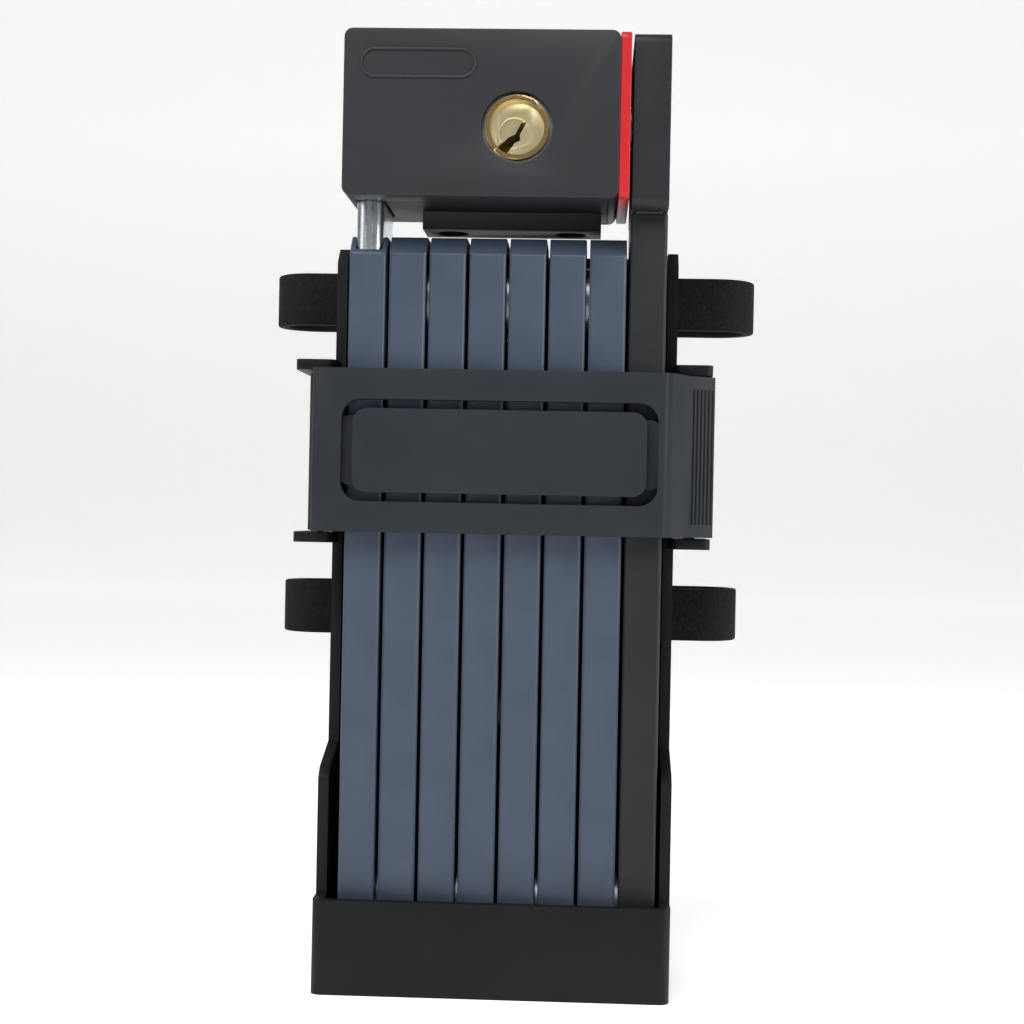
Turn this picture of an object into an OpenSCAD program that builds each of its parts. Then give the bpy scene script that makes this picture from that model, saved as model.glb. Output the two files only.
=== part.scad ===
// Folding lock with eight riveted links, resting in its frame holder.
// X runs across the stack of links, -Y is the front, Z = 0 is the underside of the cup.

/* [Links] */
// Distance between the middles of two neighbouring links
link_pitch = 7.5; // [7.3:0.1:9]
// Thickness of a steel link core
core_t = 5; // [4:0.1:5.4]
// Depth of a steel link core, front to back
core_d = 20; // [17:0.5:20]
// Depth of a plastic link coat, front to back
coat_d = 22; // [21:0.5:25]
// Gap between two neighbouring coats
coat_gap = 0.6; // [0.4:0.1:1]
// Distance between the two rivet axes of a link
rivet_span = 115; // [100:1:150]
// From a rivet axis to the end of the coat
end_reach = 11.6; // [10.5:0.1:14]
// Chamfer on the ends of a coat
end_chamfer = 3.5; // [2:0.25:5]
// Edge chamfer along a coat
edge_chamfer = 0.5; // [0.3:0.1:0.8]

/* [Rivets] */
// Diameter of a link rivet
rivet_d = 8; // [6:0.5:9]
// Diameter of a rivet head
rivet_head_d = 12; // [10.5:0.5:13]
// Height of a rivet head
rivet_head_h = 0.8; // [0.6:0.05:0.85]
// Diameter of the washer between two cores
washer_d = 14; // [12.5:0.5:15]
// Radial running clearance of a rivet in a turning core
rivet_play = 0.05; // [0.02:0.01:0.1]

/* [Case] */
// Width of the case without its end plate
case_w = 51.1; // [48:0.5:60]
// Depth of the case, front to back
case_d = 32; // [30:0.5:36]
// Height of the case
case_h = 30.9; // [28:0.5:36]
// Wall of the case shell
case_wall = 1.8; // [1.2:0.1:2.4]
// Corner radius of the case seen from the front
case_corner_r = 1.6; // [1:0.1:3]
// Thickness of the end plate between case and arm
end_plate_t = 2; // [1.5:0.1:3]
// Gap between the end plate and the arm
arm_gap = 0.5; // [0.3:0.1:0.8]
// Gap between the tops of the links and the case
case_lift = 6.5; // [4.5:0.1:9]

/* [Lock cylinder] */
// Outer diameter of the brass cylinder housing
cylinder_d = 12; // [11:0.5:13]
// Diameter of the key plug
plug_d = 10; // [9:0.1:10.2]
// Diameter of the round recess in the plug's face
plug_recess_d = 5.6; // [5:0.1:6]
// Radial running clearance of the key plug
plug_play = 0.05; // [0.02:0.01:0.1]
// Distance of the cylinder axis from the middle of the stack
cylinder_x = 1.4; // [0:0.1:4]
// Diameter of a tumbler pin
pin_d = 2; // [1.6:0.1:2.2]
// Number of tumbler pins
pin_count = 5; // [4:1:5]
// Distance between two tumbler pins
pin_pitch = 3.2; // [3:0.1:3.4]
// Travel of the latch
latch_travel = 4.5; // [3.5:0.1:5]

/* [Holder] */
// Wall of the holder
holder_wall = 2; // [1.6:0.1:2.6]
// Thickness of the back plate
back_t = 2.8; // [2.4:0.1:4]
// Height of the cup at the foot
cup_h = 17.5; // [14:0.5:22]
// Floor of the cup
cup_floor = 3; // [2:0.1:4]
// Gap between the cup's front wall and the links
front_clear = 2.5; // [2.3:0.1:4]
// Gap between the back plate and the links
back_clear = 3.5; // [3.2:0.1:5]
// Gap between the first link and the left wall
left_clear = 2.2; // [1.5:0.1:3]
// Gap between the arm and the right wall
right_clear = 0.8; // [0.5:0.1:2]
// Height of the side walls
side_h = 141; // [130:1:144]
// Height at which the side walls step back
step_z = 43; // [36:1:60]
// Height of the lower ear pair
ear_z = 83.5; // [70:0.5:86]
// Height of the lower screw hole
screw_low_z = 50; // [44:0.5:56]
// Distance between the two screw holes
screw_spacing = 64; // [60:1:68]
// Diameter of a screw hole
screw_hole_d = 5.5; // [4:0.1:6]

/* [Strap] */
// Height of the elastic strap
strap_h = 30.4; // [24:0.2:32]
// Thickness of the elastic strap
strap_t = 2.8; // [2:0.1:3.4]
// Gap between the strap and the links
strap_clear = 0.7; // [0.4:0.1:1.2]
// Width of the window
window_w = 58.8; // [50:0.2:60]
// Height of the window
window_h = 19; // [15:0.2:22]
// Gap above and below the panel in the window
window_gap = 1.7; // [1:0.1:2.5]
// Diameter of the strap pin
strap_pin_d = 2; // [1.6:0.1:2.2]

/* [Hook-and-loop straps] */
// Height of a hook-and-loop strap
hook_h = 10.5; // [9:0.5:12]
// Thickness of a hook-and-loop strap
hook_t = 2.2; // [1.6:0.1:2.4]
// Width of the upper strap's loop
hook_upper_w = 98; // [90:1:120]
// Width of the lower strap's loop
hook_lower_w = 93; // [88:1:120]
// Depth of a strap's loop
hook_loop_d = 16; // [15:1:40]
// Height of the lower strap's middle
hook_lower_z = 70; // [64:1:74]
// Height of the upper strap's middle
hook_upper_z = 132.5; // [126:0.5:134]

/* [Hidden] */
$fn = 48;

bar_count = 7;
arm = bar_count + 1;
coat_t = link_pitch - coat_gap;
coat_face = (coat_t - core_t) / 2;
core_space = link_pitch - core_t;
end_wall = 1.2;
washer_t = core_space - 0.1;
pocket_r = washer_d / 2 + 0.6;

foot_gap = 0.3;
link_foot = cup_floor + foot_gap;
lower_axis = link_foot + end_reach;
upper_axis = lower_axis + rivet_span;
link_top = upper_axis + end_reach;
stack_half = (arm - 1) / 2 * link_pitch + coat_t / 2;

case_z = link_top + case_lift;
case_top = case_z + case_h;
arm_left = stack_half - coat_t;
case_right = arm_left - arm_gap - end_plate_t;
case_left = case_right - case_w;
cylinder_z = case_z + 12.9;
case_rivet_z = case_z + 16;
arm_cap_z = case_z - 1.6;
arm_core_top = case_top - 2.4;

link_front = -coat_d / 2;
cup_front = link_front - front_clear - holder_wall;
back_front = coat_d / 2 + back_clear;
holder_back = back_front + back_t;
inner_left = -stack_half - left_clear;
inner_right = stack_half + right_clear;
outer_left = inner_left - holder_wall;
outer_right = inner_right + holder_wall;
wall_front_low = link_front + 1.5;
wall_front_high = 3.5;
ear_t = 2;
ear_gap = strap_h + 0.6;
upper_ear_z = ear_z + ear_t + ear_gap;
ear_reach = 6.6;
strap_z = ear_z + ear_t + 0.3;
strap_mid = strap_z + strap_h / 2;
strap_front = link_front - strap_clear - strap_t;
strap_pin_x = outer_left - 2.5;
strap_pin_y = 1;
knuckle_r = strap_pin_d / 2 + 1;
strap_left = outer_left - 1.8;
catch_x = outer_right + 1.8;
catch_t = 2;
screw_high_z = screw_low_z + screw_spacing;
bridge_t = 2;
bridge_w = 44;
hook_front = holder_back + 0.4;
bridge_back = hook_front + hook_t + 0.4 + bridge_t;

tongue_top = case_z + 19.5;
tongue_d = core_d;
slot_play = 0.4;
latch_h = 5;
latch_d = 6;
cam_pin_r = 1.2;
cam_pin_orbit = latch_travel / sqrt(2);
plug_front = -case_d / 2 + 1.2;
plug_len = 19;
plug_back = plug_front + plug_len;
cam_t = 2;
latch_y = plug_back + cam_t + 0.4 + latch_d / 2;
cam_pin_len = 3.4;
cam_screw_d = 2.4;
cam_head_d = 3.6;
block_left = case_left + case_wall + 7.6;
block_right = case_right - case_wall - 0.3;
block_front = -case_d / 2 + case_wall + 0.3;
block_back = case_d / 2 - case_wall - 0.3;
block_z = case_z + 2.4;
block_top = case_top - case_wall - 0.3;
latch_tip = link_x(1) + core_t / 2 - 3;
latch_tail = cylinder_x + 5.4;
latch_spring_end = block_right - 1.5;
latch_spring_d = 4;
first_pin_y = plug_front + 3.6;
key_pin_len = 2.8;
driver_pin_len = 2.6;
chamber_top = cylinder_z + plug_d / 2 + 6.2;
cover_screw_x = [case_left + 19, case_right - 9];
cover_screw_y = 8;
cover_t = 2;

coat_color = "#525d6c";
black_plastic = "#2c2e31";
steel_color = "#a9adb2";
brass_color = "#c9a55c";

// Middle of link i, counted from the tongue
function link_x(i) = (i - (arm + 1) / 2) * link_pitch;
// Height of the rivet axis between link i and link i + 1
function joint_z(i) = i % 2 == 1 ? lower_axis : upper_axis;
// The far end of link i, where no rivet joins it to the next one
function far_z(i) = i % 2 == 1 ? upper_axis : lower_axis;

// A cylinder along X, from x = 0
module rod_x(d, len) {
    rotate([0, 90, 0]) cylinder(d = d, h = len);
}

// A cylinder along Y, from y = 0
module rod_y(d, len) {
    rotate([-90, 0, 0]) cylinder(d = d, h = len);
}

// A box between two corners
module span(low, high) {
    translate(low) cube(high - low);
}

// A rectangle between two corners with rounded corners of radius r
module round_rect(low, high, r) {
    for (x = [low[0] + r, high[0] - r], y = [low[1] + r, high[1] - r]) translate([x, y]) circle(r);
    translate([low[0] + r, low[1]]) square([high[0] - low[0] - 2 * r, high[1] - low[1]]);
    translate([low[0], low[1] + r]) square([high[0] - low[0], high[1] - low[1] - 2 * r]);
}

// Extrudes an outline drawn in X and Z from y0 to y1
module plate_y(y0, y1) {
    translate([0, y1, 0]) rotate([90, 0, 0]) linear_extrude(y1 - y0) children();
}

// Extrudes an outline drawn in Y and Z from x0 to x1
module plate_x(x0, x1) {
    translate([x0, 0, 0]) rotate([90, 0, 90]) linear_extrude(x1 - x0) children();
}

// ---- Links ----

// Outline of a link seen from its side: chamfered ends
module link_outline(depth, z0, z1, chamfer) {
    polygon([
        [-depth / 2 + chamfer, z0], [depth / 2 - chamfer, z0], [depth / 2, z0 + chamfer],
        [depth / 2, z1 - chamfer], [depth / 2 - chamfer, z1], [-depth / 2 + chamfer, z1],
        [-depth / 2, z1 - chamfer], [-depth / 2, z0 + chamfer]
    ]);
}

// Holes for the rivets of link i: tight where it carries the rivet, running where it turns on it
module core_holes(i) {
    x0 = link_x(i) - core_t;
    if (i > 1) translate([x0, 0, joint_z(i - 1)]) rod_x(rivet_d, 2 * core_t);
    if (i < arm) translate([x0, 0, joint_z(i)]) rod_x(rivet_d + 2 * rivet_play, 2 * core_t);
}

module bar_core(i) {
    x = link_x(i);
    color(steel_color) difference() {
        union() {
            core_slab(x, link_top - end_wall);
            if (i == 1) tongue();
        }
        core_holes(i);
        if (i == 1) tongue_notch();
    }
}

// The first core runs on upwards as the tongue that the case locks
module tongue() {
    x = link_x(1);
    translate([0, 0, upper_axis]) linear_extrude(tongue_top - upper_axis)
        round_rect([x - core_t / 2, -tongue_d / 2], [x + core_t / 2, tongue_d / 2], core_t / 2 - 0.4);
}

// The notch that takes the latch
module tongue_notch() {
    x = link_x(1) + core_t / 2;
    span([x - 3.3, latch_y - latch_d / 2 - 0.3, cylinder_z - latch_h / 2 - 0.3],
        [x + 1, latch_y + latch_d / 2 + 0.3, cylinder_z + latch_h / 2 + 0.3]);
}

// Coat of link i: a sleeve with chamfered edges and round openings over its rivets
module coat_body(i) {
    x = link_x(i);
    difference() {
        intersection() {
            plate_x(x - coat_t / 2, x + coat_t / 2) link_outline(coat_d, link_foot, link_top, end_chamfer);
            linear_extrude(link_top + 1) coat_section(x);
        }
        core_slab(x, link_top - end_wall);
    }
}

// A coat seen from above, with chamfered edges
module coat_section(x) {
    w = coat_t / 2;
    d = coat_d / 2;
    c = edge_chamfer;
    polygon([[x - w + c, -d], [x + w - c, -d], [x + w, -d + c], [x + w, d - c],
        [x + w - c, d], [x - w + c, d], [x - w, d - c], [x - w, -d + c]]);
}

// The flat steel of a link up to a height
module core_slab(x, top) {
    plate_x(x - core_t / 2, x + core_t / 2) link_outline(core_d, link_foot + end_wall, top, end_chamfer);
}

module bar_coat(i) {
    x = link_x(i);
    color(coat_color) difference() {
        coat_body(i);
        for (z = i == 1 ? [lower_axis] : [lower_axis, upper_axis])
            translate([x - coat_t / 2 - 1, 0, z]) rod_x(2 * pocket_r, coat_t + 2);
        if (i == 1) span([x - core_t / 2, -tongue_d / 2, upper_axis],
            [x + core_t / 2, tongue_d / 2, link_top + 1]);
    }
}

// Rivet through link i and link i + 1, held in link i + 1
module link_rivet(i) {
    x0 = link_x(i) - core_t / 2;
    x1 = link_x(i + 1) + core_t / 2;
    color(steel_color) translate([0, 0, joint_z(i)]) {
        translate([x0 - 0.05, 0, 0]) rod_x(rivet_d, x1 - x0 + 0.05);
        translate([x0 - 0.05 - rivet_head_h, 0, 0]) rod_x(rivet_head_d, rivet_head_h);
        translate([x1, 0, 0]) rod_x(rivet_head_d, rivet_head_h);
    }
}

// Washer between link i and link i + 1, lying on link i + 1
module link_washer(i) {
    x1 = link_x(i + 1) - core_t / 2;
    color(steel_color) translate([x1 - washer_t, 0, joint_z(i)]) difference() {
        rod_x(washer_d, washer_t);
        translate([-1, 0, 0]) rod_x(rivet_d, washer_t + 2);
    }
}

// ---- Arm ----

module arm_core() {
    x = link_x(arm);
    color(steel_color) difference() {
        core_slab(x, arm_core_top);
        core_holes(arm);
        translate([x - core_t, 0, case_rivet_z]) rod_x(rivet_d, 2 * core_t);
    }
}

module arm_cover() {
    x = link_x(arm);
    color(black_plastic) difference() {
        intersection() {
            plate_x(x - coat_t / 2, x + coat_t / 2) link_outline(coat_d, link_foot, case_top, end_chamfer);
            linear_extrude(arm_cap_z - 0.3) coat_section(x);
        }
        core_slab(x, arm_core_top);
        translate([x - coat_t / 2 - 1, 0, lower_axis]) rod_x(2 * pocket_r, coat_t / 2 + 1);
        translate([x, 0, lower_axis]) rod_x(rivet_head_d + 1, core_t / 2 + rivet_head_h + 0.05);
    }
}

module arm_cap() {
    x = link_x(arm);
    cap_d = case_d - 2;
    color(black_plastic) difference() {
        plate_x(x - coat_t / 2, x + coat_t / 2)
            round_rect([-cap_d / 2, arm_cap_z], [cap_d / 2, case_top - 0.1], 2);
        core_slab(x, arm_core_top);
        translate([x - coat_t, 0, case_rivet_z]) rod_x(rivet_d, coat_t);
        translate([x, 0, case_rivet_z]) rod_x(rivet_head_d + 1, core_t / 2 + rivet_head_h + 0.05);
    }
}

// ---- Case ----

module case_shell() {
    color(black_plastic) difference() {
        plate_y(-case_d / 2, case_d / 2)
            round_rect([case_left, case_z], [case_right, case_top], case_corner_r);
        span([case_left + case_wall, -case_d / 2 + case_wall, case_z - 1],
            [case_right - case_wall, case_d / 2 - case_wall, case_top - case_wall]);
        translate([cylinder_x, -case_d / 2 - 1, cylinder_z]) rod_y(cylinder_d + 1.2, case_wall + 2);
        translate([case_right - case_wall - 1, 0, case_rivet_z]) rod_x(rivet_d, case_wall + 2);
    }
}

module tongue_opening(play) {
    x = link_x(1);
    translate([0, 0, case_z - 1]) linear_extrude(tongue_top + play - case_z + 1)
        round_rect([x - core_t / 2 - play, -tongue_d / 2 - play], [x + core_t / 2 + play, tongue_d / 2 + play],
            core_t / 2 - 0.4);
}

module bottom_cover() {
    color(black_plastic) difference() {
        union() {
            span([case_left + case_wall + 0.1, -case_d / 2 + case_wall + 0.1, case_z],
                [case_right - case_wall - 0.1, case_d / 2 - case_wall - 0.1, case_z + cover_t]);
            span([case_left + 13.5, 2, case_z - 3.4], [case_right - 3, case_d / 2 - 3, case_z + cover_t]);
        }
        tongue_opening(slot_play);
        for (x = cover_screw_x) translate([x, cover_screw_y, case_z - 4]) {
            cylinder(d = 3.4, h = 10);
            cylinder(d = 6.2, h = 5);
        }
    }
}

module cover_screws() {
    color(steel_color) for (x = cover_screw_x) translate([x, cover_screw_y, case_z]) {
        translate([0, 0, 1]) cylinder(d = 3, h = 8);
        difference() {
            translate([0, 0, -0.8]) cylinder(d = 5.6, h = 1.8);
            translate([0, 0, -1.8]) cylinder(d = 2.4, h = 2, $fn = 6);
        }
    }
}

// Steel body that fills the case and carries the cylinder, the latch and the case rivet
module lock_block() {
    color(steel_color) difference() {
        span([block_left, block_front, block_z], [block_right, block_back, block_top]);
        translate([cylinder_x, block_front - 1, cylinder_z]) rod_y(cylinder_d, plug_back - block_front + 1);
        span([cylinder_x - 2.4, block_front - 1, cylinder_z], [cylinder_x + 2.4, plug_back, chamber_top + 1.4]);
        translate([cylinder_x, plug_back, cylinder_z])
            rod_y(2 * (cam_pin_orbit + cam_pin_r + 1.2), cam_t + cam_pin_len + 0.5);
        // channel of the latch and its spring
        span([block_left - 1, latch_y - latch_d / 2 - 0.1, cylinder_z - latch_h / 2 - 0.1],
            [latch_tail + latch_travel + 0.6, latch_y + latch_d / 2 + 0.1, cylinder_z + latch_h / 2 + 0.1]);
        translate([latch_tail, latch_y, cylinder_z]) rod_x(latch_spring_d + 0.4, latch_spring_end - latch_tail);
        translate([case_right - 12, 0, case_rivet_z]) rod_x(rivet_d, 14);
        translate([case_right - 12, 0, case_rivet_z]) rod_x(rivet_head_d + 0.4, 4);
        for (x = cover_screw_x) translate([x, cover_screw_y, block_z - 1]) cylinder(d = 3, h = 8);
    }
}

module end_plate() {
    color("#d9383e") difference() {
        plate_x(case_right, case_right + end_plate_t)
            round_rect([-case_d / 2 + 0.2, case_z], [case_d / 2 - 0.2, case_top], 1.5);
        translate([case_right - 1, 0, case_rivet_z]) rod_x(rivet_d, end_plate_t + 2);
    }
}

// Rivet that holds the arm to the lock block
module case_rivet() {
    x0 = case_right - 8;
    x1 = link_x(arm) + core_t / 2;
    color(steel_color) translate([0, 0, case_rivet_z]) {
        translate([x0, 0, 0]) rod_x(rivet_d, x1 - x0);
        translate([x0 - 3, 0, 0]) rod_x(rivet_head_d, 3);
        translate([x1, 0, 0]) rod_x(rivet_head_d, rivet_head_h);
    }
}

// ---- Cylinder ----

module at_pins() {
    for (n = [0 : pin_count - 1]) translate([cylinder_x, first_pin_y + n * pin_pitch, cylinder_z]) children();
}

module cylinder_housing() {
    color(brass_color) difference() {
        union() {
            translate([cylinder_x, -case_d / 2 + 0.4, cylinder_z]) rod_y(cylinder_d, plug_back + case_d / 2 - 0.4);
            span([cylinder_x - 2.2, block_front, cylinder_z], [cylinder_x + 2.2, plug_back, chamber_top + 1.2]);
        }
        translate([cylinder_x, -case_d / 2, cylinder_z])
            rod_y(plug_d + 2 * plug_play, plug_back + case_d / 2 + 1);
        at_pins() cylinder(d = pin_d + 0.1, h = chamber_top - cylinder_z);
        translate([cylinder_x, 0, cylinder_z]) plate_y(-case_d / 2 - 1, plug_front + 0.4) keyway(cylinder_d - 1.4);
    }
}

// Bent keyway from the right of the middle down to the lower left rim
module keyway(d) {
    polygon([[1.7, 1.1], [0.8, 1.1], [-0.4, -1.1], [-1.5, -1.6], [-0.45 * d, -0.45 * d],
        [-0.25 * d, -0.6 * d], [-0.4, -2.7], [0.6, -2.2], [0.5, -1.2]]);
}

module key_plug() {
    color(brass_color) difference() {
        translate([cylinder_x, plug_front, cylinder_z]) rod_y(plug_d, plug_len);
        translate([cylinder_x - 0.5, plug_front - 1, cylinder_z - 0.9]) rod_y(plug_recess_d, 1.6);
        translate([cylinder_x, 0, cylinder_z]) plate_y(plug_front - 1, plug_back - 4) keyway(plug_d);
        at_pins() translate([0, 0, plug_d / 2 - key_pin_len]) cylinder(d = pin_d + 0.1, h = key_pin_len + 1);
        translate([cylinder_x, plug_back - 3, cylinder_z]) rod_y(cam_screw_d, 4);
    }
}

module key_pins() {
    color(brass_color) at_pins() translate([0, 0, plug_d / 2 - key_pin_len + 0.05]) {
        cylinder(d = pin_d, h = key_pin_len - 0.15);
    }
}

module driver_pins() {
    color(steel_color) at_pins() translate([0, 0, plug_d / 2 + plug_play]) cylinder(d = pin_d, h = driver_pin_len);
}

// A coil spring along Z from 0 to len: the wire's section swept along a helix
module coil(r, wire, turns, len) {
    sides = 6;
    steps = 12 * turns;
    mid = r - wire / 2;
    rise = len - wire;
    points = [for (i = [0 : steps], k = [0 : sides - 1])
        let (turn = 360 * turns * i / steps, around = 360 * k / sides, reach = mid + wire / 2 * cos(around))
        [reach * cos(turn), reach * sin(turn), wire / 2 + rise * i / steps + wire / 2 * sin(around)]];
    walls = [for (i = [0 : steps - 1], k = [0 : sides - 1])
        let (a = i * sides + k, b = i * sides + (k + 1) % sides)
        [a, a + sides, b + sides, b]];
    ends = [[for (k = [0 : sides - 1]) k], [for (k = [sides - 1 : -1 : 0]) steps * sides + k]];
    polyhedron(points, concat(walls, ends));
}

module pin_springs() {
    z0 = plug_d / 2 + plug_play + driver_pin_len;
    color(steel_color) at_pins() translate([0, 0, z0])
        coil(pin_d / 2 - 0.05, 0.3, 4, chamber_top - cylinder_z - z0);
}

module cam() {
    color(steel_color) translate([cylinder_x, plug_back, cylinder_z]) {
        difference() {
            rod_y(2 * (cam_pin_orbit + cam_pin_r + 0.5), cam_t);
            translate([0, -1, 0]) rod_y(cam_screw_d, cam_t + 2);
            translate([0, cam_t / 2, 0]) rod_y(cam_head_d, cam_t);
        }
        rotate([0, 45, 0]) translate([-cam_pin_orbit, cam_t, 0]) rod_y(2 * cam_pin_r, cam_pin_len);
    }
}

// Screw that holds the cam on the plug
module cam_screw() {
    color(steel_color) translate([cylinder_x, plug_back, cylinder_z]) {
        translate([0, -3, 0]) rod_y(cam_screw_d, 3 + cam_t / 2);
        translate([0, cam_t / 2, 0]) rod_y(cam_head_d - 0.2, cam_t / 2 - 0.1);
    }
}

// ---- Latch ----

module latch() {
    slot_w = 2 * cam_pin_r + 0.5;
    pin_x = cylinder_x - cam_pin_orbit / sqrt(2);
    color(steel_color) difference() {
        span([latch_tip, latch_y - latch_d / 2, cylinder_z - latch_h / 2],
            [latch_tail, latch_y + latch_d / 2, cylinder_z + latch_h / 2]);
        span([pin_x - slot_w / 2, latch_y - latch_d, cylinder_z - latch_h / 2 + 1.5],
            [pin_x + slot_w / 2, latch_y + latch_d, cylinder_z + latch_h]);
    }
}

module latch_spring() {
    color(steel_color) translate([latch_tail, latch_y, cylinder_z]) rotate([0, 90, 0])
        coil(latch_spring_d / 2, 0.6, 6, latch_spring_end - latch_tail);
}

// ---- Holder ----

module holder_shell() {
    color(black_plastic) difference() {
        union() {
            cup();
            back_plate();
            side_wall(outer_left, inner_left);
            side_wall(inner_right, outer_right);
            left_ears();
            right_ears();
            for (z = [hook_lower_z, hook_upper_z]) bridge(z);
        }
        for (z = [screw_low_z, screw_high_z]) translate([0, back_front - 1, z]) {
            rod_y(screw_hole_d, back_t + 2);
        }
    }
}

module cup() {
    difference() {
        linear_extrude(cup_h) round_rect([outer_left, cup_front], [outer_right, holder_back], 2);
        span([inner_left, cup_front + holder_wall, cup_floor], [inner_right, back_front, cup_h + 1]);
    }
}

module back_plate() {
    plate_y(back_front, holder_back) round_rect([outer_left, 2], [outer_right, side_h], 3);
}

// A side wall is deep at the foot and shallow above its step
module side_wall(x0, x1) {
    step_r = 1.8;
    plate_x(x0, x1) polygon([
        [wall_front_low, cup_floor], [holder_back - 0.5, cup_floor], [holder_back - 0.5, side_h - 3],
        [holder_back - 3, side_h], [wall_front_high + 3, side_h], [wall_front_high, side_h - 3],
        [wall_front_high, step_z + step_r], [wall_front_low + step_r, step_z - step_r],
        [wall_front_low, step_z - 2 * step_r]
    ]);
}

// The ears reach out at both sides, above and below the strap
module ear(x0, x1, z) {
    y0 = -4.5;
    translate([0, 0, z]) linear_extrude(ear_t) round_rect([x0, y0], [x1, back_front], 1.5);
}

module left_ears() {
    difference() {
        for (z = [ear_z, upper_ear_z]) ear(outer_left - ear_reach, outer_left + 1, z);
        translate([strap_pin_x, strap_pin_y, ear_z - 1]) cylinder(d = strap_pin_d, h = ear_gap + 2 * ear_t + 2);
    }
}

module right_ears() {
    for (z = [ear_z, upper_ear_z]) ear(outer_right - 1, outer_right + ear_reach, z);
    span([catch_x, 0, ear_z], [catch_x + catch_t, 5, upper_ear_z + ear_t]);
}

// Bridge behind the back plate that guides a hook-and-loop strap
module bridge(z) {
    h = hook_h + 4.8;
    difference() {
        span([-bridge_w / 2, holder_back - 1, z - h / 2], [bridge_w / 2, bridge_back, z + h / 2]);
        span([-bridge_w, holder_back, z - hook_h / 2 - 0.4],
            [bridge_w, bridge_back - bridge_t, z + hook_h / 2 + 0.4]);
        span([-bridge_w / 2 + 8, holder_back, z - h], [bridge_w / 2 - 8, bridge_back + 1, z + h]);
    }
}

module strap_pin() {
    color(steel_color) translate([strap_pin_x, strap_pin_y, ear_z])
        cylinder(d = strap_pin_d, h = ear_gap + 2 * ear_t);
}

// ---- Strap ----

module strap() {
    right_x = catch_x + catch_t + 0.6;
    color("#303235") difference() {
        union() {
            difference() {
                translate([0, 0, strap_z]) linear_extrude(strap_h) strap_plan(right_x);
                window_cut();
            }
            window_panel();
        }
        translate([strap_pin_x, strap_pin_y, strap_z - 1]) cylinder(d = strap_pin_d + 0.1, h = strap_h + 2);
    }
}

// The strap seen from above: front run, left wrap with its knuckle, right bend with tab and hook lip
module strap_plan(right_x) {
    back = strap_front + strap_t;
    side_t = 2;
    round_rect([strap_left, strap_front], [outer_right - 2, back], 1.2);
    translate([strap_pin_x, strap_pin_y]) circle(knuckle_r);
    polygon([[strap_left, strap_front + 1.2], [strap_left + side_t, strap_front + 1.2],
        [strap_left + side_t, -3], [strap_pin_x + knuckle_r, strap_pin_y], [strap_pin_x - knuckle_r, strap_pin_y],
        [strap_left, -5]]);
    polygon([[outer_right - 4, strap_front], [outer_right - 1.4, strap_front + 0.8],
        [outer_right + 2.2, -7], [right_x + 2.6, -4], [right_x + 2.6, 6], [right_x, 7.6],
        [catch_x - 0.6, 7.6], [catch_x - 0.6, 5.6], [right_x, 5.6], [right_x, -1.2],
        [outer_right + 0.6, -4.2], [outer_right - 2, back]]);
}

module window_outline(w, h, r) {
    translate([-0.8, strap_mid]) round_rect([-w / 2, -h / 2], [w / 2, h / 2], r);
}

module window_cut() {
    plate_y(strap_front - 1, strap_front + strap_t + 1) window_outline(window_w, window_h, 3.6);
}

module window_panel() {
    panel_w = window_w - 2 * 2.1;
    panel_h = window_h - 2 * window_gap;
    plate_y(strap_front + 0.2, strap_front + strap_t) window_outline(panel_w, panel_h, 2.6);
    plate_y(strap_front + 1.4, strap_front + strap_t) window_outline(window_w + 2, window_h - 6, 2.6);
}

// ---- Hook-and-loop straps ----

module hook_strap(z, w) {
    color("#161617") translate([0, hook_front, z - hook_h / 2]) linear_extrude(hook_h) difference() {
        loop_outline(w, 0);
        loop_outline(w, hook_t);
    }
}

module loop_outline(w, inset) {
    r = hook_loop_d / 2;
    for (side = [-1, 1]) translate([side * (w / 2 - r), r]) circle(r - inset);
    translate([-w / 2 + r, inset]) square([w - 2 * r, hook_loop_d - 2 * inset]);
}

holder_shell();
strap_pin();
strap();
hook_strap(hook_upper_z, hook_upper_w);  // hook_strap_upper
hook_strap(hook_lower_z, hook_lower_w);  // hook_strap_lower
case_shell();
bottom_cover();
cover_screws();
lock_block();
end_plate();
arm_core();
arm_cover();
arm_cap();
case_rivet();
cylinder_housing();
driver_pins();
pin_springs();
key_plug();
key_pins();
cam_screw();
cam();
latch();
latch_spring();
bar_core(1);  // bar_1_core
bar_core(2);  // bar_2_core
bar_core(3);  // bar_3_core
bar_core(4);  // bar_4_core
bar_core(5);  // bar_5_core
bar_core(6);  // bar_6_core
bar_core(7);  // bar_7_core
bar_coat(1);  // bar_1_coat
bar_coat(2);  // bar_2_coat
bar_coat(3);  // bar_3_coat
bar_coat(4);  // bar_4_coat
bar_coat(5);  // bar_5_coat
bar_coat(6);  // bar_6_coat
bar_coat(7);  // bar_7_coat
link_rivet(1);  // rivet_1
link_rivet(2);  // rivet_2
link_rivet(3);  // rivet_3
link_rivet(4);  // rivet_4
link_rivet(5);  // rivet_5
link_rivet(6);  // rivet_6
link_rivet(7);  // rivet_7
link_washer(1);  // washer_1
link_washer(2);  // washer_2
link_washer(3);  // washer_3
link_washer(4);  // washer_4
link_washer(5);  // washer_5
link_washer(6);  // washer_6
link_washer(7);  // washer_7
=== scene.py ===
import math

import bmesh
import bpy
from mathutils import Matrix, Vector


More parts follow.
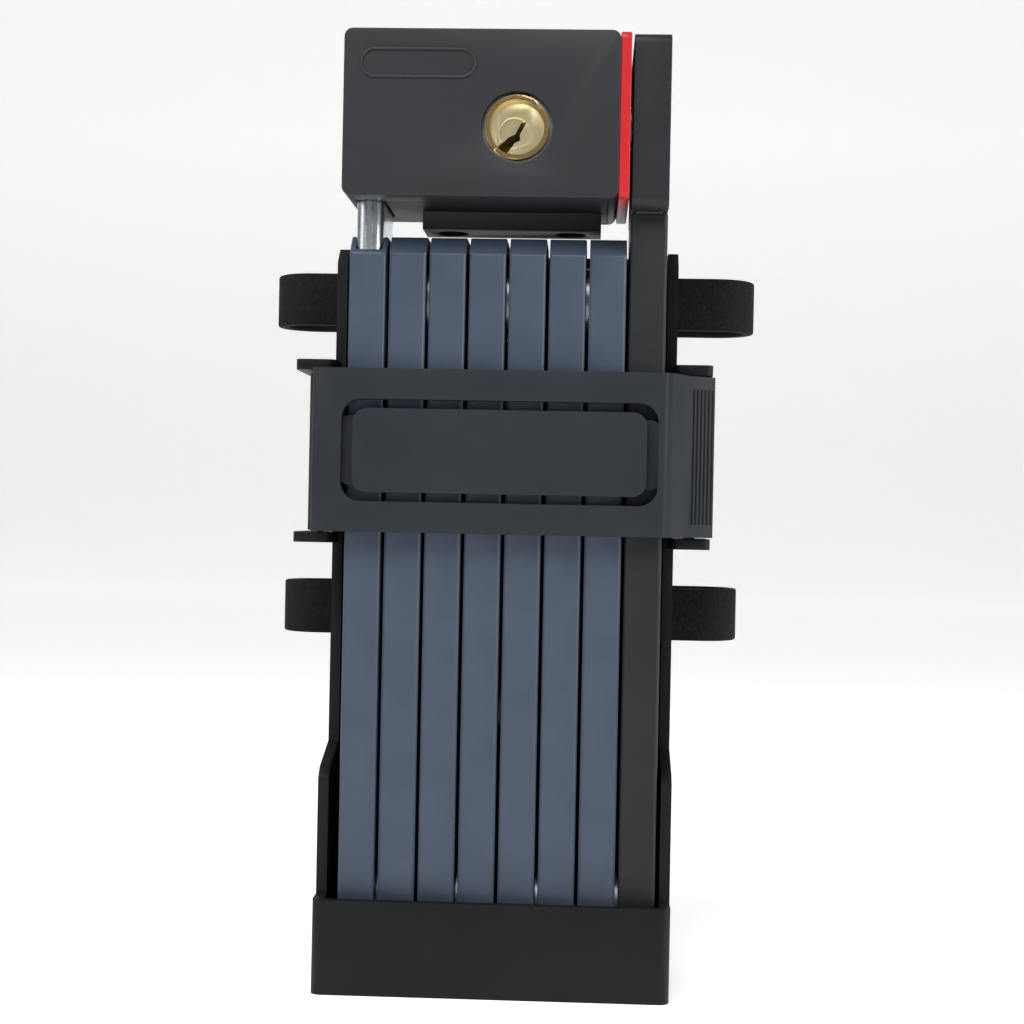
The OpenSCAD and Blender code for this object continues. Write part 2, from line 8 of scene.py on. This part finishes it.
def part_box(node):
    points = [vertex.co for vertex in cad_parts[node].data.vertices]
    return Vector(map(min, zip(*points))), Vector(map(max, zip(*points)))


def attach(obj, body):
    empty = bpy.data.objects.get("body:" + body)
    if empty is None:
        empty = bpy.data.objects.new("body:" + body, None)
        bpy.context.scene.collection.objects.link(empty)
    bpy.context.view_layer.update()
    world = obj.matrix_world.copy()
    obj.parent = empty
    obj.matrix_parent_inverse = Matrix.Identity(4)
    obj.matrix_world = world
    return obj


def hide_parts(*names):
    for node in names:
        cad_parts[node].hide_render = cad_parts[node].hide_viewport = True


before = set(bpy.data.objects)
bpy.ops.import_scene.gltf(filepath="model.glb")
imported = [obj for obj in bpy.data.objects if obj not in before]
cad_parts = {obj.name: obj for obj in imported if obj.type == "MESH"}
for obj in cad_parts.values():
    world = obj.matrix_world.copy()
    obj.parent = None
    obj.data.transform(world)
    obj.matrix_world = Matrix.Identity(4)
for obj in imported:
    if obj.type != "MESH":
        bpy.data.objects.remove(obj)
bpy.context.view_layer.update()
mm = 0.001
scene = bpy.context.scene
scene.view_settings.view_transform = "Standard"


# ---- materials ----

def toLinear(hexColour):
    parts = [int(hexColour[i:i + 2], 16) / 255 for i in (1, 3, 5)]
    return [p / 12.92 if p <= 0.04045 else ((p + 0.055) / 1.055) ** 2.4 for p in parts] + [1.0]


def addNode(tree, kind, settings=None, links=None):
    node = tree.nodes.new(kind)
    for name, value in (settings or {}).items():
        if name in node.inputs:
            node.inputs[name].default_value = value
        else:
            setattr(node, name, value)
    for name, source in (links or {}).items():
        tree.links.new(source, node.inputs[name])
    return node


def newMaterial(name, constants):
    material = bpy.data.materials.new(name)
    material.use_nodes = True
    shader = material.node_tree.nodes["Principled BSDF"]
    for socket, value in constants.items():
        shader.inputs[socket].default_value = value
    return material, material.node_tree, shader


def colourPair(tree, shader, factor, low, high):
    ramp = addNode(tree, "ShaderNodeValToRGB", links={"Fac": factor})
    ramp.color_ramp.elements[0].color = toLinear(low)
    ramp.color_ramp.elements[1].color = toLinear(high)
    # noise rarely leaves its middle values, so the two colours meet over those
    ramp.color_ramp.elements[0].position = 0.3
    ramp.color_ramp.elements[1].position = 0.7
    tree.links.new(ramp.outputs["Color"], shader.inputs["Base Color"])


def mouldedPlastic(look):
    # spark-eroded mould texture: a fine even grain with slow drifts of tone and gloss
    constants = {"IOR": look["ior"], "Specular IOR Level": look["shine"]}
    material, tree, shader = newMaterial(look["name"], constants)
    place = addNode(tree, "ShaderNodeTexCoord").outputs["Object"]
    drift = addNode(tree, "ShaderNodeTexNoise", {"Scale": 1 / (look["driftMm"] * mm), "Detail": 3.0},
                    {"Vector": place})
    colourPair(tree, shader, drift.outputs["Fac"], look["low"], look["high"])
    grain = addNode(tree, "ShaderNodeTexNoise", {"Scale": 1 / (look["grainMm"] * mm), "Detail": 2.0},
                    {"Vector": place})
    gloss = addNode(tree, "ShaderNodeMapRange",
                    {"To Min": look["rough"] - 0.05, "To Max": look["rough"] + 0.06},
                    {"Value": grain.outputs["Fac"]})
    tree.links.new(gloss.outputs["Result"], shader.inputs["Roughness"])
    bump = addNode(tree, "ShaderNodeBump", {"Strength": look["bump"], "Distance": 0.05 * mm},
                   {"Height": grain.outputs["Fac"]})
    tree.links.new(bump.outputs["Normal"], shader.inputs["Normal"])
    return material


def turnedMetal(look):
    # plated or turned metal: fine drawn lines along one axis and a faint cloud in the plating
    material, tree, shader = newMaterial(look["name"], {"Metallic": 1.0})
    place = addNode(tree, "ShaderNodeTexCoord").outputs["Object"]
    stretch = addNode(tree, "ShaderNodeMapping", {"Scale": look["stretch"]}, {"Vector": place})
    lines = addNode(tree, "ShaderNodeTexNoise", {"Scale": 1 / (look["lineMm"] * mm), "Detail": 3.0},
                    {"Vector": stretch.outputs["Vector"]})
    cloud = addNode(tree, "ShaderNodeTexNoise", {"Scale": 1 / (3 * mm), "Detail": 2.0}, {"Vector": place})
    colourPair(tree, shader, cloud.outputs["Fac"], look["low"], look["high"])
    gloss = addNode(tree, "ShaderNodeMapRange",
                    {"To Min": look["rough"] - 0.06, "To Max": look["rough"] + 0.08},
                    {"Value": lines.outputs["Fac"]})
    tree.links.new(gloss.outputs["Result"], shader.inputs["Roughness"])
    bump = addNode(tree, "ShaderNodeBump", {"Strength": look["bump"], "Distance": 0.02 * mm},
                   {"Height": lines.outputs["Fac"]})
    tree.links.new(bump.outputs["Normal"], shader.inputs["Normal"])
    return material


def hookWebbing():
    # woven nylon hook-and-loop: dull fuzz over a 0.9 mm weave
    material, tree, shader = newMaterial("wovenNylonHook", {"Roughness": 0.9, "Specular IOR Level": 0.2})
    place = addNode(tree, "ShaderNodeTexCoord").outputs["Object"]
    fuzz = addNode(tree, "ShaderNodeTexNoise", {"Scale": 1 / (0.6 * mm), "Detail": 4.0}, {"Vector": place})
    weave = addNode(tree, "ShaderNodeTexVoronoi", {"Scale": 1 / (0.9 * mm)}, {"Vector": place})
    colourPair(tree, shader, fuzz.outputs["Fac"], "#0B0B0B", "#19191B")
    height = addNode(tree, "ShaderNodeMath", {"operation": "ADD"})
    tree.links.new(fuzz.outputs["Fac"], height.inputs[0])
    tree.links.new(weave.outputs["Distance"], height.inputs[1])
    bump = addNode(tree, "ShaderNodeBump", {"Strength": 0.6, "Distance": 0.2 * mm},
                   {"Height": height.outputs["Value"]})
    tree.links.new(bump.outputs["Normal"], shader.inputs["Normal"])
    return material


plastics = {
    # soft-touch coat over the steel links, silky blue-grey polyamide
    "coat": dict(name="silkyPolyamideCoat", low="#3A4453", high="#404A5A", driftMm=9, grainMm=0.35,
                 rough=0.4, bump=0.25, ior=1.5, shine=0.32),
    # glass-filled nylon of the case, satin and nearly neutral
    "case": dict(name="satinNylonCase", low="#242629", high="#282A2E", driftMm=12, grainMm=0.4,
                 rough=0.47, bump=0.4, ior=1.5, shine=0.3),
    # the arm's cover is the same nylon, painted a shade darker: painted shade, where less of the top light
    # reaches the arm
    "arm": dict(name="satinNylonArmPaintedShade", low="#1D1F22", high="#222427", driftMm=12, grainMm=0.4,
                rough=0.48, bump=0.4, ior=1.5, shine=0.26),
    # the frame holder: coarser moulded polyamide, black, its colour darkened further almost to nothing as
    # painted shade for the cup lying low, away from the top light
    "holder": dict(name="texturedPolyamideHolder", low="#101113", high="#15161A", driftMm=15, grainMm=0.5,
                   rough=0.52, bump=0.55, ior=1.5, shine=0.18),
    # thermoplastic elastomer of the strap, matte with a soft bloom
    "strap": dict(name="matteElastomer", low="#1E2227", high="#23272D", driftMm=10, grainMm=0.45,
                  rough=0.55, bump=0.4, ior=1.48, shine=0.25),
    # through-coloured red ABS trim
    "red": dict(name="mouldedRedAbs", low="#B01D24", high="#BA2228", driftMm=8, grainMm=0.3,
                rough=0.36, bump=0.2, ior=1.53, shine=0.3),
}
metals = {
    # bright zinc plate with drawn lines up the bar
    "zinc": dict(name="brightZincPlate", low="#C9D0D8", high="#E6ECF2", stretch=(1, 1, 0.04), lineMm=0.25,
                 rough=0.26, bump=0.35),
    # plain rolled steel of rivets, washers and inner parts
    "steel": dict(name="rolledSteel", low="#9EA2A7", high="#B4B8BD", stretch=(1, 1, 0.3), lineMm=0.4,
                  rough=0.34, bump=0.25),
    # polished brass of the cylinder's rim
    "brass": dict(name="polishedBrass", low="#E3C17C", high="#F0D79C", stretch=(1, 0.1, 1), lineMm=0.3,
                  rough=0.14, bump=0.12),
    # turned brass of the plug, paler
    "plug": dict(name="turnedPaleBrass", low="#F4E0A6", high="#FBEFC6", stretch=(1, 0.1, 1), lineMm=0.25,
                 rough=0.3, bump=0.2),
}
finishes = {key: mouldedPlastic(look) for key, look in plastics.items()}
finishes.update({key: turnedMetal(look) for key, look in metals.items()})
finishes["webbing"] = hookWebbing()
print("materials ready")


# ---- pieces from the frame ----

def addObject(name, shape, finish, body):
    mesh = bpy.data.meshes.new(name)
    shape.to_mesh(mesh)
    shape.free()
    piece = bpy.data.objects.new(name, mesh)
    scene.collection.objects.link(piece)
    mesh.materials.append(finishes[finish])
    for face in mesh.polygons:
        face.use_smooth = True
    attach(piece, body)
    return piece


edgeBreak = {"weldMm": 0.002, "flatDegrees": 0.6, "sharpDegrees": 32, "segments": 3}


def roundedCopy(node, finish, body, width):
    # the construction's own shape, with its edges broken as a mould or a tumbler leaves them
    shape = bmesh.new()
    shape.from_mesh(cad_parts[node].data)
    bmesh.ops.remove_doubles(shape, verts=shape.verts, dist=edgeBreak["weldMm"] * mm)
    bmesh.ops.dissolve_limit(shape, angle_limit=math.radians(edgeBreak["flatDegrees"]), verts=shape.verts,
                             edges=shape.edges)
    piece = addObject(node + "_body", shape, finish, body)
    bevel = piece.modifiers.new("edges", "BEVEL")
    bevel.width = width * mm
    bevel.segments = edgeBreak["segments"]
    bevel.limit_method = "ANGLE"
    bevel.angle_limit = math.radians(edgeBreak["sharpDegrees"])
    bevel.harden_normals = True
    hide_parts(node)
    return piece


# node, finish, body, slot and width of the broken edge in mm
rounded = [
    ("case_shell", "case", "lock_case", "case_plastic", 0.5),
    ("bottom_cover", "case", "lock_case", "case_plastic", 0.3),
    ("end_plate", "red", "lock_case", "red_plastic", 0.25),
    ("arm_cap", "arm", "lock_case", "arm_plastic", 0.6),
    ("arm_cover", "arm", "lock_case", "arm_plastic", 0.3),
    ("cylinder_housing", "brass", "lock_case", "polished_brass", 0.25),
    ("key_plug", "plug", "plug", "plug_brass", 0.15),
    ("bar_1_core", "zinc", "link_1", "tongue_zinc", 0.3),
    ("holder_shell", "holder", "holder", "holder_plastic", 0.4),
    ("strap", "strap", "strap_band", "strap_elastomer", 0.5),
    ("hook_strap_upper", "webbing", "holder", "hook_webbing", 0.5),
    ("hook_strap_lower", "webbing", "holder", "hook_webbing", 0.5),
]
rounded += [(f"bar_{i}_coat", "coat", f"link_{i}", "coat_plastic", 0.3) for i in range(1, 8)]
for node, finish, body, slot, width in rounded:
    roundedCopy(node, finish, body, width)
print("rounded pieces ready")


# ---- blank badge rim on the case ----

badge = {"width": 21.5, "height": 5.6, "rim": 0.45, "proud": 0.22, "fromLeft": 3.0, "fromTop": 3.6,
         "segments": 48}


def addBadgeRim():
    low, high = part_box("case_shell")
    centre = Vector((low.x + (badge["fromLeft"] + badge["width"] / 2) * mm, low.y,
                     high.z - (badge["fromTop"] + badge["height"] / 2) * mm))
    shape = bmesh.new()
    bmesh.ops.create_circle(shape, cap_ends=False, radius=badge["height"] / 2 * mm,
                            segments=badge["segments"])
    # the circle's halves are drawn apart into the pill's round ends
    reach = (badge["width"] - badge["height"]) / 2 * mm
    for vertex in shape.verts:
        vertex.co.x += math.copysign(reach, vertex.co.x) if abs(vertex.co.x) > 1e-9 else 0
    bmesh.ops.contextual_create(shape, geom=shape.edges[:])
    bmesh.ops.inset_region(shape, faces=shape.faces[:], thickness=badge["rim"] * mm,
                             use_boundary=True, use_even_offset=True)
    inner = max(shape.faces, key=lambda face: face.calc_area() if len(face.verts) > 4 else 0)
    bmesh.ops.delete(shape, geom=[inner], context="FACES")
    raised = bmesh.ops.extrude_face_region(shape, geom=shape.faces[:])
    lifted = [part for part in raised["geom"] if isinstance(part, bmesh.types.BMVert)]
    bmesh.ops.translate(shape, vec=(0, 0, badge["proud"] * mm), verts=lifted)
    bmesh.ops.rotate(shape, matrix=Matrix.Rotation(math.radians(90), 3, "X"), verts=shape.verts)
    bmesh.ops.translate(shape, vec=centre, verts=shape.verts)
    bmesh.ops.recalc_face_normals(shape, faces=shape.faces)
    addObject("badge_rim", shape, "case", "lock_case")


addBadgeRim()


# ---- grip ribs on the strap's pull tab ----

# the tab slants back from the strap's bend: its middle lies this far in from the strap's right and front
grip = {"count": 6, "pitch": 0.85, "width": 0.42, "proud": 0.5, "margin": 2.4, "round": 0.16, "turn": 32,
        "fromRight": 2.3, "fromFront": 9.35}


def addGripRibs():
    low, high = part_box("strap")
    face = Vector((high.x - grip["fromRight"] * mm, low.y + grip["fromFront"] * mm, (low.z + high.z) / 2))
    turn = Matrix.Rotation(math.radians(grip["turn"]), 3, "Z")
    tall = high.z - low.z - 2 * grip["margin"] * mm
    shape = bmesh.new()
    for i in range(grip["count"]):
        made = bmesh.ops.create_cube(shape, size=1)["verts"]
        bmesh.ops.scale(shape, vec=(grip["width"] * mm, 2 * grip["proud"] * mm, tall), verts=made)
        edges = list({edge for vertex in made for edge in vertex.link_edges})
        made = bmesh.ops.bevel(shape, geom=edges, offset=grip["round"] * mm, offset_type="OFFSET",
                               segments=2, profile=0.5, affect="EDGES", material=-1)["verts"]
        shift = Vector(((i - (grip["count"] - 1) / 2) * grip["pitch"] * mm, 0, 0))
        bmesh.ops.translate(shape, vec=shift, verts=made)
        bmesh.ops.rotate(shape, matrix=turn, verts=made)
        bmesh.ops.translate(shape, vec=face, verts=made)
    addObject("strap_grip_ribs", shape, "strap", "strap_band")


addGripRibs()
print("badge rim and grip ribs ready")


# ---- finishes of the parts that stay as constructed ----

for name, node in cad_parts.items():
    if node.hide_render:
        continue
    node.data.materials.clear()
    node.data.materials.append(finishes["plug" if name == "key_pins" else "steel"])


# ---- floor, light and camera ----

# metres; the paper glows a little, so that it stays white behind the lock
stage = {"glow": 0.46, "back": 1.6, "bend": 0.6, "front": -2.2, "side": 2.6, "wall": 2.6, "steps": 24,
         "ambient": 0.2}


def addBackdrop():
    material, tree, shader = newMaterial("palePaper", {"Roughness": 0.85, "Emission Color": (1, 1, 1, 1),
                                                       "Emission Strength": stage["glow"]})
    place = addNode(tree, "ShaderNodeTexCoord").outputs["Object"]
    fibre = addNode(tree, "ShaderNodeTexNoise", {"Scale": 90.0, "Detail": 3.0}, {"Vector": place})
    colourPair(tree, shader, fibre.outputs["Fac"], "#F2F2F0", "#F6F6F5")
    shape = bmesh.new()
    start = shape.verts.new((-stage["side"], stage["front"], 0))
    flat = bmesh.ops.extrude_vert_indiv(shape, verts=[start])["verts"]
    bmesh.ops.translate(shape, vec=(0, stage["back"] - stage["front"], 0), verts=flat)
    bmesh.ops.spin(shape, geom=flat, cent=(-stage["side"], stage["back"], stage["bend"]), axis=(1, 0, 0),
                   dvec=(0, 0, 0), angle=math.radians(90), steps=stage["steps"], use_merge=False)
    top = max(shape.verts, key=lambda vertex: (vertex.co.z, vertex.co.y))
    wall = bmesh.ops.extrude_vert_indiv(shape, verts=[top])["verts"]
    bmesh.ops.translate(shape, vec=(0, 0, stage["wall"]), verts=wall)
    sides = bmesh.ops.extrude_edge_only(shape, edges=shape.edges[:])["geom"]
    moved = [part for part in sides if isinstance(part, bmesh.types.BMVert)]
    bmesh.ops.translate(shape, vec=(2 * stage["side"], 0, 0), verts=moved)
    bmesh.ops.recalc_face_normals(shape, faces=shape.faces)
    mesh = bpy.data.meshes.new("backdrop")
    shape.to_mesh(mesh)
    shape.free()
    backdrop = bpy.data.objects.new("backdrop", mesh)
    mesh.materials.append(material)
    for face in mesh.polygons:
        face.use_smooth = True
    scene.collection.objects.link(backdrop)


def addLight(name, place, target, size, power):
    light = bpy.data.lights.new(name, "AREA")
    light.shape = "RECTANGLE"
    light.size, light.size_y = size
    light.energy = power
    lamp = bpy.data.objects.new(name, light)
    lamp.location = place
    lamp.rotation_euler = (Vector(target) - Vector(place)).to_track_quat("-Z", "Y").to_euler()
    scene.collection.objects.link(lamp)


addBackdrop()
world = bpy.data.worlds.new("studio")
world.use_nodes = True
world.node_tree.nodes["Background"].inputs["Color"].default_value = (1, 1, 1, 1)
world.node_tree.nodes["Background"].inputs["Strength"].default_value = stage["ambient"]
scene.world = world
# a soft box close above the left shoulder, so that the light falls off towards the cup, and two side lights
middle = (0, 0, 0.09)
addLight("topSoftbox", (-0.18, -0.36, 0.62), middle, (0.5, 0.35), 3.8)
addLight("rightStrip", (0.8, -0.25, 0.3), middle, (0.25, 0.9), 6)
addLight("leftFill", (-0.8, -0.5, 0.45), middle, (0.4, 0.8), 1.5)

# the camera stands in front, a little to the right of square, level with the middle; degrees and mm
shot = {"yaw": -2.4, "distance": 345, "height": 90, "aimX": 1.7, "planeY": -11, "roll": 1.13, "lens": 65.0}


def addCamera():
    camera = bpy.data.cameras.new("camera")
    camera.lens = shot["lens"]
    camera.sensor_width = 36
    camera.clip_start = 0.01
    holder = bpy.data.objects.new("camera", camera)
    aim = Vector((shot["aimX"], shot["planeY"], shot["height"])) * mm
    yaw = math.radians(shot["yaw"])
    back = Vector((-math.sin(yaw), -math.cos(yaw), 0)) * shot["distance"] * mm
    facing = (-back).to_track_quat("-Z", "Y").to_matrix().to_4x4()
    roll = Matrix.Rotation(math.radians(shot["roll"]), 4, "Z")
    holder.matrix_world = Matrix.Translation(aim + back) @ facing @ roll
    scene.collection.objects.link(holder)
    scene.camera = holder


addCamera()
